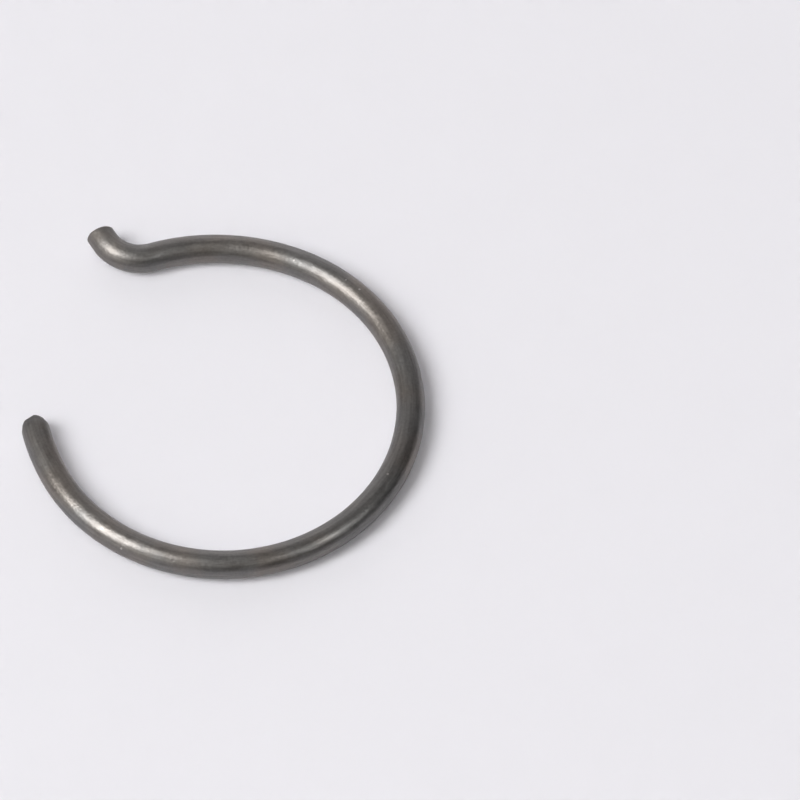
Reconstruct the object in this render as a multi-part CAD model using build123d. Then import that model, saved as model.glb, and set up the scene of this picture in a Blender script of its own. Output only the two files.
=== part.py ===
from build123d import *
import os
from math import radians, tan

# Piston circlip: an open ring of round spring-steel wire with one plain end and one end bent out into a tang.
# Millimetres. The origin is the ring's centre, in the plane of the wire's middle line, and +Z is the axis of
# the bore that the ring snaps into. Angles are in degrees, and the ring's own are counted from +X,
# anticlockwise seen from +Z. Bend radii are those of the wire's middle line.

# Wire
wire_diameter = 1.6

# Ring, as it is when it lies free
ring_outer_diameter = 22.4
ring_start_angle = -154.0
ring_end_angle = 64.0

# Run-outs: the stretches from the ring to its two ends, a little flatter than the ring
plain_run_out_radius = 14.0
plain_run_out_angle = 12.8
tang_run_out_radius = 11.5
tang_run_out_angle = 43.8

# Nose: the plain end is tumbled to a round tip
nose_length = 1.0

# Tang: a bend away from the ring's centre and a short straight tip, cut off a little askew
tang_bend_radius = 2.25
tang_bend_angle = 77.2
tang_tip_length = 0.6
tang_cut_tilt = 8.0
tang_edge_rounding = 0.1

# Worked out from the sizes above
wire_radius = wire_diameter / 2
ring_radius = ring_outer_diameter / 2 - wire_radius
tang_cut_allowance = wire_diameter * tan(radians(tang_cut_tilt))


def middle_line():
    """The line that the middle of the wire follows, from the nose's base to past the tang's cut."""
    ring = CenterArc((0, 0), ring_radius, ring_start_angle, ring_end_angle - ring_start_angle)
    back = JernArc(ring @ 0, -(ring % 0), plain_run_out_radius, -plain_run_out_angle)
    plain_run_out = JernArc(back @ 1, -(back % 1), plain_run_out_radius, plain_run_out_angle)
    tang_run_out = JernArc(ring @ 1, ring % 1, tang_run_out_radius, tang_run_out_angle)
    bend = JernArc(tang_run_out @ 1, tang_run_out % 1, tang_bend_radius, -tang_bend_angle)
    tip = Line(bend @ 1, bend @ 1 + (bend % 1) * (tang_tip_length + tang_cut_allowance))
    return Wire([plain_run_out, ring, tang_run_out, bend, tip])


def bent_wire(line):
    """Round wire along the line, square at both ends."""
    section = Plane(line @ 0, z_dir=line % 0) * Circle(wire_radius)
    return sweep(section, path=line)


def nose(line):
    """The round tip of the plain end: half of an ellipse turned about the wire's axis."""
    curve = EllipticalCenterArc((0, 0), wire_radius, nose_length, arc_size=90)
    half = make_face(curve + Polyline(curve @ 1, (0, 0), curve @ 0))
    tip = revolve(Plane.XZ * half, Axis.Z)
    return Plane(line @ 0, z_dir=-(line % 0)) * tip


def tang_cut(line):
    """The plane of the tang's cut, askew to the wire's axis."""
    axis = line % 1
    middle = line @ 1 - axis * tang_cut_allowance
    return Plane(middle, z_dir=axis.rotate(Axis.Z, -tang_cut_tilt))


def circlip():
    """The finished ring: the bent wire with its nose and its dressed tang."""
    line = middle_line()
    cut = tang_cut(line)
    wire = split(bent_wire(line), bisect_by=cut, keep=Keep.BOTTOM)
    cut_face = wire.faces().filter_by(GeomType.PLANE).sort_by_distance(cut.origin)[0]
    wire = fillet(cut_face.edges(), tang_edge_rounding)
    return wire + nose(line)


os.makedirs("parts", exist_ok=True)
export_step(circlip(), "parts/circlip.step")
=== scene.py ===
import math
import bpy
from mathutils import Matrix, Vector, noise


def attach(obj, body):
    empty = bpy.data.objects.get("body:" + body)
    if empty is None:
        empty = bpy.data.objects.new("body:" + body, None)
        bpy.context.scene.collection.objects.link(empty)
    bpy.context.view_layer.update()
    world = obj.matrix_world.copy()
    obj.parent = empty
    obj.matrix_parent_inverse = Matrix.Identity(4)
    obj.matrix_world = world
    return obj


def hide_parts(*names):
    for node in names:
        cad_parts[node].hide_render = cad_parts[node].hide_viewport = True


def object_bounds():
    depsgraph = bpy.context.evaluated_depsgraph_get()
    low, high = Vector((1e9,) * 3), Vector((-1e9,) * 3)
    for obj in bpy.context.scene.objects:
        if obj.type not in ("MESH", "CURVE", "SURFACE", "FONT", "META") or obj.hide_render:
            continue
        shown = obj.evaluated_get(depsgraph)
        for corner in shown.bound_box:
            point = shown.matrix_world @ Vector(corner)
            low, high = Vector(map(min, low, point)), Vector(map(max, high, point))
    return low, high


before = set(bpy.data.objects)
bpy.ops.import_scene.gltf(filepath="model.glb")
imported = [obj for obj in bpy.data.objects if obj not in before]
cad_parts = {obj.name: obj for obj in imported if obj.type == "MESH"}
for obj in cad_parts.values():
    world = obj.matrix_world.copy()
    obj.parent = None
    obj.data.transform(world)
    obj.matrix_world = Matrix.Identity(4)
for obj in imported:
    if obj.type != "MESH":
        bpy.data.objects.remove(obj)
cad_low, cad_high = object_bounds()

# A piston circlip: an open ring of round spring-steel wire with a plain end and a tang, lying flat.
# Metres, in the part's own frame: the ring's centre is the origin and the wire's middle line is at z = 0.
MM = 0.001

# Sizes of the wire and of its middle line, as in the part's source
WIRE_RADIUS = (cad_high.z - cad_low.z) / 2
RING_RADIUS = cad_high.x - WIRE_RADIUS
RING_START_ANGLE = math.radians(-154.0)
RING_END_ANGLE = math.radians(64.0)
PLAIN_RUN_OUT_RADIUS = 14.0 * MM
PLAIN_RUN_OUT_ANGLE = math.radians(12.8)
TANG_RUN_OUT_RADIUS = 11.5 * MM
TANG_RUN_OUT_ANGLE = math.radians(43.8)
NOSE_LENGTH = 1.0 * MM
TANG_BEND_RADIUS = 2.25 * MM
TANG_BEND_ANGLE = math.radians(77.2)
TANG_TIP_LENGTH = 0.6 * MM
TANG_CUT_TILT = math.radians(8.0)
TANG_EDGE_ROUNDING = 0.1 * MM

# The middle line as stretches of even curvature, each a length and a curvature, positive to the left:
# nose, plain run-out, ring, run-out to the tang, bend and tip
PLAIN_RUN_OUT = (PLAIN_RUN_OUT_RADIUS * PLAIN_RUN_OUT_ANGLE, 1 / PLAIN_RUN_OUT_RADIUS)
STRETCHES = [
    (NOSE_LENGTH, 0),
    PLAIN_RUN_OUT,
    (RING_RADIUS * (RING_END_ANGLE - RING_START_ANGLE), 1 / RING_RADIUS),
    (TANG_RUN_OUT_RADIUS * TANG_RUN_OUT_ANGLE, 1 / TANG_RUN_OUT_RADIUS),
    (TANG_BEND_RADIUS * TANG_BEND_ANGLE, -1 / TANG_BEND_RADIUS),
    (TANG_TIP_LENGTH, 0),
]
WIRE_LENGTH = sum(length for length, curvature in STRETCHES)
WIRE_GIRTH = 2 * math.pi * WIRE_RADIUS

# Fineness of the wire's mesh: points round a ring, spacing of the rings along the wire, how many there are on
# the nose, on the rounded edge of the tang's cut and on the cut itself, and the name of the mesh's map
SECTION_POINTS = 72
RING_SPACING = 0.066 * MM
NOSE_RINGS = 26
ROUNDING_RINGS = 8
CUT_RINGS = 9
LAYOUT_NAME = "wire"

# Wear: how far the surface lies below the true round, by a slow waviness all along the wire, by the tumbling
# of its two ends and by small flats on the nose. A flat faces an angle from the wire's axis, anticlockwise
# seen from above, and a height over the floor, both in degrees, and has a depth.
WAVE_SIZE = 1.6 * MM
WAVE_DEPTH = 0.006 * MM
TUMBLE_SIZE = 0.45 * MM
TUMBLE_DEPTH = 0.035 * MM
TUMBLE_REACH = 0.9 * MM
NOSE_FLATS = [
    {"angle": 72, "height": 3, "depth": 0.03 * MM},
    {"angle": 23, "height": 27, "depth": 0.07 * MM},
    {"angle": -64, "height": 22, "depth": 0.03 * MM},
    {"angle": -20, "height": -28, "depth": 0.05 * MM},
    {"angle": 48, "height": -35, "depth": 0.06 * MM},
]

# Spring steel: two tints of the tempering skin, bright steel where it is nicked, its roughness, and how far
# the drawing lines draw out its highlights
WARM_STEEL = (0.213, 0.195, 0.179)
COOL_STEEL = (0.189, 0.186, 0.182)
BRIGHT_STEEL = (0.48, 0.46, 0.44)
STEEL_ROUGHNESS = 0.39
LINE_SHEEN = 0.4

# Textures of the skin: patches of tint, drawing lines and scuffs that are stretched along the wire and come
# in between two distances from its ends, grain, dull ends, the nose's tip, which is rougher and darker by a
# painted shade that holds down its reflection, nicks and the relief's depth
PATCH_SIZE = 3.2 * MM
LINE_WIDTH = 0.13 * MM
LINE_STRETCH = 16
SCUFF_SIZE = 0.26 * MM
SCUFF_STRETCH = 3
DRAWN_FROM = (0.65 * MM, 1.3 * MM)
GRAIN_SIZE = 0.15 * MM
DULL_REACH = 3.4 * MM
TIP_SHADE_REACH = 1.6 * MM
NICK_SPACING = 1.1 * MM
NICK_SIZE = 0.09 * MM
RELIEF_DEPTH = 0.012 * MM

# Every texture runs from 0 to 1. The cool tint comes in between two levels of the patches, and a nick
# between two levels of the grain, which makes its outline ragged. Details are octaves of noise.
TEXTURE_MIDDLE = 0.5
TINT_LEVELS = (0.35, 0.65)
NICK_LEVELS = (0.4, 0.55)
COARSE_DETAIL = 2
FINE_DETAIL = 3

# How far each texture swings the skin's brightness, roughness and height about their middles
# The tip's brightness share is painted shade: it darkens the nose's tip to hold down the reflection there
BRIGHTNESS_SHARES = {"lines": 0.6, "grain": 0.45, "tip": -1.1}
ROUGHNESS_SHARES = {"patches": 0.12, "scuffs": 0.25, "grain": 0.15, "ends": 0.14, "tip": 0.5}
HEIGHT_SHARES = {"lines": 0.25, "scuffs": 1.3, "grain": 1.0}

# Camera: the photograph's size and its scale in the plane of the wire, in pixels, the camera's height over
# the floor and the pixel of the ring's centre. The sensor and the lens are in Blender's own millimetres.
PICTURE_PIXELS = 800
PIXELS_PER_METRE = 18.0 / MM
CAMERA_ELEVATION = math.radians(57.05)
RING_CENTRE_PIXEL = (223.5, 407.2)
CAMERA_DISTANCE = 2.0
SENSOR_WIDTH = 36.0

# Light: a large soft key from the left, a weaker fill from the right that casts no shadow, and a dim room
# with soft glows on its far side, at the near left and overhead. Directions are in degrees: azimuth from +X,
# anticlockwise, and height over the floor. A glow's width is in degrees too, and a lamp's is in metres.
LAMP_DISTANCE = 1.0
LAMPS = {
    "key": {"azimuth": -160, "height": 52, "width": 0.44, "tall": 0.68, "power": 7.5, "shadow": True},
    "fill": {"azimuth": -31, "height": 55, "width": 0.40, "tall": 0.20, "power": 1.68, "shadow": False},
}
ROOM_COLOUR = (0.02, 0.02, 0.02)
GLOWS = {
    "far": {"azimuth": 95, "height": 8, "width": 28, "colour": (1.22, 1.18, 1.19)},
    "near left": {"azimuth": -150, "height": 28, "width": 31, "colour": (0.72, 0.69, 0.65)},
    "overhead": {"azimuth": -90, "height": 66, "width": 20, "colour": (0.25, 0.23, 0.21)},
}

# Floor: plain and pale, and light spreads a little way inside it
FLOOR_COLOUR = (0.792, 0.789, 0.835)
FLOOR_REACH = 3.0
FLOOR_SCATTER = 0.5 * MM


def direction(azimuth, height):
    """A direction, from its azimuth and its height over the floor in degrees."""
    azimuth, height = math.radians(azimuth), math.radians(height)
    level = math.cos(height)
    return Vector((level * math.cos(azimuth), level * math.sin(azimuth), math.sin(height)))


def walk(point, heading, run, curvature):
    """Point and heading after a run along an even curve, or before it where the run is negative."""
    turn = run * curvature
    chord = run * (math.sin(turn / 2) / (turn / 2) if turn else 1)
    middle = heading + turn / 2
    return point + Vector((math.cos(middle), math.sin(middle), 0)) * chord, heading + turn


def wire_start():
    """The nose's tip and the heading there: back from the ring along the plain run-out and the nose."""
    point = Vector((math.cos(RING_START_ANGLE), math.sin(RING_START_ANGLE), 0)) * RING_RADIUS
    heading = RING_START_ANGLE + math.pi / 2
    length, curvature = PLAIN_RUN_OUT
    point, heading = walk(point, heading, -length, curvature)
    return walk(point, heading, -NOSE_LENGTH, 0)


def middle_line(distance):
    """The middle line's point and heading at a distance from the nose's tip."""
    point, heading = wire_start()
    for length, curvature in STRETCHES:
        run = min(distance, length)
        point, heading = walk(point, heading, run, curvature)
        distance = distance - run
    return point, heading


def wire_rings():
    """All rings of the wire from end to end, each its distance along the middle line and its radius."""
    rings = []
    for step in range(1, NOSE_RINGS + 1):
        angle = math.pi / 2 * step / NOSE_RINGS
        rings.append((NOSE_LENGTH * (1 - math.cos(angle)), WIRE_RADIUS * math.sin(angle)))
    body_length = WIRE_LENGTH - NOSE_LENGTH - TANG_EDGE_ROUNDING
    count = round(body_length / RING_SPACING)
    rings += [(NOSE_LENGTH + body_length * step / count, WIRE_RADIUS) for step in range(1, count)]
    cut_radius = WIRE_RADIUS - TANG_EDGE_ROUNDING
    for step in range(ROUNDING_RINGS + 1):
        angle = math.pi / 2 * step / ROUNDING_RINGS
        set_back = TANG_EDGE_ROUNDING * (1 - math.sin(angle))
        rings.append((WIRE_LENGTH - set_back, cut_radius + TANG_EDGE_ROUNDING * math.cos(angle)))
    rings += [(WIRE_LENGTH, cut_radius * step / CUT_RINGS) for step in range(CUT_RINGS - 1, 0, -1)]
    return rings


def skin_places():
    """How far along the wire's skin each ring is from the first."""
    rings = wire_rings()
    places = [0]
    for before, after in zip(rings, rings[1:]):
        places.append(places[-1] + math.dist(before, after))
    return places


def tang_skew(distance):
    """How far a section leans along the wire, for a length across it: the tang's cut is askew."""
    share = max(0, 1 - (WIRE_LENGTH - distance) / TANG_TIP_LENGTH)
    return -share * math.tan(TANG_CUT_TILT)


def wear(point, distance):
    """How far the waviness and the tumbling lower the surface at a point, at a distance along the wire."""
    from_end = min(distance, WIRE_LENGTH - distance)
    tumbled = math.exp(-(from_end / TUMBLE_REACH) ** 2)
    wave = (1 + noise.noise(point / WAVE_SIZE)) / 2
    tumble = (1 + noise.noise(point / TUMBLE_SIZE)) / 2
    return WAVE_DEPTH * wave + TUMBLE_DEPTH * tumble * tumbled


def flattened(point):
    """A point of the nose, pressed back to the flats there."""
    base, heading = middle_line(NOSE_LENGTH)
    facing = math.degrees(heading) + 180
    for flat in NOSE_FLATS:
        normal = direction(facing + flat["angle"], flat["height"])
        endwise = normal.dot(direction(facing, 0))
        sidewise = math.sqrt(1 - endwise ** 2)
        reach = math.hypot(NOSE_LENGTH * endwise, WIRE_RADIUS * sidewise) - flat["depth"]
        point = point - normal * max(0, normal.dot(point - base) - reach)
    return point


def ring_points(distance, radius):
    """The worn points of one ring of the wire, anticlockwise seen from the nose."""
    point, heading = middle_line(distance)
    along = Vector((math.cos(heading), math.sin(heading), 0))
    across = Vector((math.sin(heading), -math.cos(heading), 0))
    skewed = across + along * tang_skew(distance)
    points = []
    for step in range(SECTION_POINTS):
        angle = 2 * math.pi * step / SECTION_POINTS
        out = skewed * math.cos(angle) + Vector((0, 0, math.sin(angle)))
        true_round = point + out * radius
        worn = true_round - out * min(radius, wear(true_round, distance))
        points.append(flattened(worn) if distance < NOSE_LENGTH else worn)
    return points


def wire_points():
    """The points of all rings in turn, then the nose's tip and the middle of the tang's cut."""
    points = []
    for distance, radius in wire_rings():
        points += ring_points(distance, radius)
    tip = flattened(middle_line(0)[0])
    cut_middle = middle_line(WIRE_LENGTH)[0]
    return points + [tip, cut_middle]


def wire_faces():
    """Faces from ring to ring, then fans on the nose's tip and on the tang's cut, all facing outwards."""
    ring_count = len(wire_rings())
    pairs = [(step, (step + 1) % SECTION_POINTS) for step in range(SECTION_POINTS)]
    faces = []
    for ring in range(ring_count - 1):
        here = ring * SECTION_POINTS
        ahead = here + SECTION_POINTS
        faces += [(here + one, ahead + one, ahead + other, here + other) for one, other in pairs]
    last = (ring_count - 1) * SECTION_POINTS
    tip = ring_count * SECTION_POINTS
    cut_middle = tip + 1
    faces += [(tip, one, other) for one, other in pairs]
    faces += [(cut_middle, last + other, last + one) for one, other in pairs]
    return faces


def lay_out(mesh):
    """Gives the wire's mesh a map of its skin, in girths: u runs round the section and v along the wire."""
    rings = wire_rings()
    places = skin_places()
    tip_place = -math.hypot(*rings[0])
    cut_middle_place = places[-1] + rings[-1][1]
    point_places = [place for place in places for step in range(SECTION_POINTS)]
    point_places += [tip_place, cut_middle_place]
    layer = mesh.uv_layers.new(name=LAYOUT_NAME)
    for face in mesh.polygons:
        steps = [point % SECTION_POINTS for point in face.vertices]
        closes = 0 in steps and SECTION_POINTS - 1 in steps
        for corner, point, step in zip(face.loop_indices, face.vertices, steps):
            turn = SECTION_POINTS if closes and step == 0 else step
            layer.data[corner].uv = (turn / SECTION_POINTS, point_places[point] / WIRE_GIRTH)


def wire_mesh():
    """The wire as one closed, smooth mesh with a map of its skin."""
    mesh = bpy.data.meshes.new("circlip_wire")
    mesh.from_pydata([tuple(point) for point in wire_points()], [], wire_faces())
    lay_out(mesh)
    mesh.polygons.foreach_set("use_smooth", [True] * len(mesh.polygons))
    mesh.update()
    return mesh


def feed(tree, socket, value):
    """Gives an input a value, or links it to an output."""
    if isinstance(value, bpy.types.NodeSocket):
        tree.links.new(value, socket)
    else:
        socket.default_value = value


def math_node(tree, operation, *values):
    """A sum on numbers."""
    made = tree.nodes.new("ShaderNodeMath")
    made.operation = operation
    for socket, value in zip(made.inputs, values):
        feed(tree, socket, value)
    return made.outputs[0]


def math_vector(tree, operation, *values):
    """A sum on vectors, whose result is a number for a dot product."""
    made = tree.nodes.new("ShaderNodeVectorMath")
    made.operation = operation
    for socket, value in zip(made.inputs, values):
        feed(tree, socket, value)
    return made.outputs["Value" if operation == "DOT_PRODUCT" else "Vector"]


def scaled(tree, vector, number):
    """A vector or colour times a number."""
    made = tree.nodes.new("ShaderNodeVectorMath")
    made.operation = "SCALE"
    feed(tree, made.inputs[0], vector)
    feed(tree, made.inputs["Scale"], number)
    return made.outputs["Vector"]


def ranged(tree, value, start, end, first, last):
    """A number that runs from first to last, smoothly, while the value runs from start to end."""
    made = tree.nodes.new("ShaderNodeMapRange")
    made.interpolation_type = "SMOOTHSTEP"
    numbers = {"Value": value, "From Min": start, "From Max": end, "To Min": first, "To Max": last}
    for name, number in numbers.items():
        feed(tree, made.inputs[name], number)
    return made.outputs["Result"]


def blend(tree, share, first, second):
    """A colour between two, by a share of the second."""
    made = tree.nodes.new("ShaderNodeMix")
    made.data_type = "RGBA"
    feed(tree, made.inputs["Factor"], share)
    for name, colour in (("A", first), ("B", second)):
        feed(tree, made.inputs[name], colour if isinstance(colour, bpy.types.NodeSocket) else (*colour, 1))
    return made.outputs["Result"]


def mottle(tree, place, size, detail):
    """Cloudy noise from 0 to 1 with spots of about the given size."""
    made = tree.nodes.new("ShaderNodeTexNoise")
    feed(tree, made.inputs["Vector"], place)
    made.inputs["Scale"].default_value = 1 / size
    made.inputs["Detail"].default_value = detail
    return made.outputs["Fac"]


def spots(tree, place, spacing, size):
    """Sparse round spots: 1 in a spot and 0 outside it."""
    made = tree.nodes.new("ShaderNodeTexVoronoi")
    feed(tree, made.inputs["Vector"], place)
    made.inputs["Scale"].default_value = 1 / spacing
    reach = size / spacing
    return ranged(tree, made.outputs["Distance"], reach / 2, reach, 1, 0)


def wire_place(tree):
    """A place on the wire laid out straight, in metres: its section in x and y, and its length in z."""
    layout = tree.nodes.new("ShaderNodeUVMap")
    layout.uv_map = LAYOUT_NAME
    parts = tree.nodes.new("ShaderNodeSeparateXYZ")
    tree.links.new(layout.outputs["UV"], parts.inputs["Vector"])
    turn = math_node(tree, "MULTIPLY", parts.outputs["X"], 2 * math.pi)
    made = tree.nodes.new("ShaderNodeCombineXYZ")
    feed(tree, made.inputs["X"], math_node(tree, "MULTIPLY", math_node(tree, "COSINE", turn), WIRE_RADIUS))
    feed(tree, made.inputs["Y"], math_node(tree, "MULTIPLY", math_node(tree, "SINE", turn), WIRE_RADIUS))
    feed(tree, made.inputs["Z"], math_node(tree, "MULTIPLY", parts.outputs["Y"], WIRE_GIRTH))
    return made.outputs["Vector"]


def varied(tree, middle, textures, shares):
    """A number that swings about its middle with some of the textures, each by its own share."""
    for name, share in shares.items():
        off = math_node(tree, "SUBTRACT", textures[name], TEXTURE_MIDDLE)
        middle = math_node(tree, "MULTIPLY_ADD", off, share, middle)
    return middle


def faded(tree, texture, level):
    """A texture, drawn back to its middle where the level is low."""
    off = math_node(tree, "SUBTRACT", texture, TEXTURE_MIDDLE)
    return math_node(tree, "MULTIPLY_ADD", off, level, TEXTURE_MIDDLE)


def steel_textures(tree):
    """The textures of the wire's skin: the lines and scuffs run along the wire."""
    place = tree.nodes.new("ShaderNodeTexCoord").outputs["Object"]
    straight = wire_place(tree)
    parts = tree.nodes.new("ShaderNodeSeparateXYZ")
    tree.links.new(straight, parts.inputs["Vector"])
    from_nose = parts.outputs["Z"]
    to_far_end = math_node(tree, "SUBTRACT", skin_places()[-1], from_nose)
    from_end = math_node(tree, "MINIMUM", from_nose, to_far_end)
    drawn = ranged(tree, from_end, *DRAWN_FROM, 0, 1)
    half = WIRE_LENGTH / 2
    from_middle = math_node(tree, "ABSOLUTE", math_node(tree, "SUBTRACT", from_nose, half))
    along_lines = math_vector(tree, "MULTIPLY", straight, (1, 1, 1 / LINE_STRETCH))
    along_scuffs = math_vector(tree, "MULTIPLY", straight, (1, 1, 1 / SCUFF_STRETCH))
    return {
        "patches": mottle(tree, place, PATCH_SIZE, COARSE_DETAIL),
        "lines": faded(tree, mottle(tree, along_lines, LINE_WIDTH, COARSE_DETAIL), drawn),
        "scuffs": faded(tree, mottle(tree, along_scuffs, SCUFF_SIZE, COARSE_DETAIL), drawn),
        "grain": mottle(tree, place, GRAIN_SIZE, FINE_DETAIL),
        "nicks": spots(tree, place, NICK_SPACING, NICK_SIZE),
        "ends": ranged(tree, from_middle, half - DULL_REACH, half, TEXTURE_MIDDLE, 1),
        # The tip drives painted shade on the nose's tip, and a rougher surface there
        "tip": ranged(tree, from_nose, 0, TIP_SHADE_REACH, 1, TEXTURE_MIDDLE),
    }


def spring_steel():
    """Dark satin steel: a patchy tempering skin with drawn lines, scuffs, grain, nicks and duller ends, and
    painted shade that darkens the nose's tip.
    """
    material = bpy.data.materials.new("spring_steel")
    material.use_nodes = True
    tree = material.node_tree
    shader = tree.nodes["Principled BSDF"]
    textures = steel_textures(tree)

    cool = ranged(tree, textures["patches"], *TINT_LEVELS, 0, 1)
    skin = blend(tree, cool, WARM_STEEL, COOL_STEEL)
    skin = scaled(tree, skin, varied(tree, 1, textures, BRIGHTNESS_SHARES))
    ragged = ranged(tree, textures["grain"], *NICK_LEVELS, 0, 1)
    nicked = math_node(tree, "MULTIPLY", textures["nicks"], ragged)
    tree.links.new(blend(tree, nicked, skin, BRIGHT_STEEL), shader.inputs["Base Color"])
    shader.inputs["Metallic"].default_value = 1
    tree.links.new(varied(tree, STEEL_ROUGHNESS, textures, ROUGHNESS_SHARES), shader.inputs["Roughness"])

    shader.inputs["Anisotropic"].default_value = LINE_SHEEN
    tangent = tree.nodes.new("ShaderNodeTangent")
    tangent.direction_type = "UV_MAP"
    tangent.uv_map = LAYOUT_NAME
    tree.links.new(tangent.outputs["Tangent"], shader.inputs["Tangent"])

    bump = tree.nodes.new("ShaderNodeBump")
    bump.inputs["Distance"].default_value = RELIEF_DEPTH
    tree.links.new(varied(tree, TEXTURE_MIDDLE, textures, HEIGHT_SHARES), bump.inputs["Height"])
    tree.links.new(bump.outputs["Normal"], shader.inputs["Normal"])
    return material


def add_circlip():
    """The dressed wire, in the place of the plain solid."""
    piece = bpy.data.objects.new("circlip_wire", wire_mesh())
    bpy.context.scene.collection.objects.link(piece)
    piece.data.materials.append(spring_steel())
    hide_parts("circlip")
    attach(piece, "root")


def floor_material():
    """Matt and pale, with a soft spread of light under its surface."""
    material = bpy.data.materials.new("floor")
    material.use_nodes = True
    shader = material.node_tree.nodes["Principled BSDF"]
    shader.inputs["Base Color"].default_value = (*FLOOR_COLOUR, 1)
    shader.inputs["Roughness"].default_value = 1
    shader.inputs["Specular IOR Level"].default_value = 0
    shader.subsurface_method = "BURLEY"
    shader.inputs["Subsurface Weight"].default_value = 1
    shader.inputs["Subsurface Radius"].default_value = (1, 1, 1)
    shader.inputs["Subsurface Scale"].default_value = FLOOR_SCATTER
    return material


def add_floor():
    """A plain pale floor under the wire."""
    corners = [(-FLOOR_REACH, -FLOOR_REACH, 0), (FLOOR_REACH, -FLOOR_REACH, 0),
               (FLOOR_REACH, FLOOR_REACH, 0), (-FLOOR_REACH, FLOOR_REACH, 0)]
    mesh = bpy.data.meshes.new("floor")
    mesh.from_pydata(corners, [], [(0, 1, 2, 3)])
    mesh.materials.append(floor_material())
    floor = bpy.data.objects.new("floor", mesh)
    floor.location.z = cad_low.z
    bpy.context.scene.collection.objects.link(floor)


def add_lamp(name, azimuth, height, width, tall, power, shadow):
    """A soft oval lamp that faces the ring."""
    towards = direction(azimuth, height)
    data = bpy.data.lights.new(name, "AREA")
    data.shape = "ELLIPSE"
    data.size = width
    data.size_y = tall
    data.energy = power
    data.use_shadow = shadow
    lamp = bpy.data.objects.new(name, data)
    lamp.location = towards * LAMP_DISTANCE
    lamp.rotation_mode = "QUATERNION"
    lamp.rotation_quaternion = towards.to_track_quat("Z", "Y")
    bpy.context.scene.collection.objects.link(lamp)


def glow(tree, heading, azimuth, height, width, colour):
    """A soft round glow on the room's wall: its colour, fading out with the angle from its middle."""
    facing = math_vector(tree, "DOT_PRODUCT", heading, direction(azimuth, height))
    off = math_node(tree, "SUBTRACT", facing, 1)
    spread = math_node(tree, "DIVIDE", off, math.radians(width) ** 2)
    level = math_node(tree, "EXPONENT", spread)
    return scaled(tree, colour, level)


def add_room():
    """The room round the ring: dim, with soft glows on its walls."""
    world = bpy.data.worlds.new("room")
    world.use_nodes = True
    tree = world.node_tree
    heading = tree.nodes.new("ShaderNodeTexCoord").outputs["Generated"]
    light = ROOM_COLOUR
    for values in GLOWS.values():
        light = math_vector(tree, "ADD", light, glow(tree, heading, **values))
    tree.links.new(light, tree.nodes["Background"].inputs["Color"])
    bpy.context.scene.world = world


def add_camera():
    """The photograph's camera: a long lens that looks down on the ring from the front."""
    lens = bpy.data.cameras.new("camera")
    lens.sensor_width = SENSOR_WIDTH
    lens.lens = SENSOR_WIDTH * PIXELS_PER_METRE * CAMERA_DISTANCE / PICTURE_PIXELS
    towards = Vector((0, -math.cos(CAMERA_ELEVATION), math.sin(CAMERA_ELEVATION)))
    right = (PICTURE_PIXELS / 2 - RING_CENTRE_PIXEL[0]) / PIXELS_PER_METRE
    back = (RING_CENTRE_PIXEL[1] - PICTURE_PIXELS / 2) / PIXELS_PER_METRE / math.sin(CAMERA_ELEVATION)
    camera = bpy.data.objects.new("camera", lens)
    camera.location = Vector((right, back, 0)) + towards * CAMERA_DISTANCE
    camera.rotation_mode = "QUATERNION"
    camera.rotation_quaternion = (-towards).to_track_quat("-Z", "Y")
    bpy.context.scene.collection.objects.link(camera)
    bpy.context.scene.camera = camera


add_circlip()
add_floor()
for lamp_name, lamp_values in LAMPS.items():
    add_lamp(lamp_name, **lamp_values)
add_room()
add_camera()
bpy.context.scene.view_settings.view_transform = "Standard"
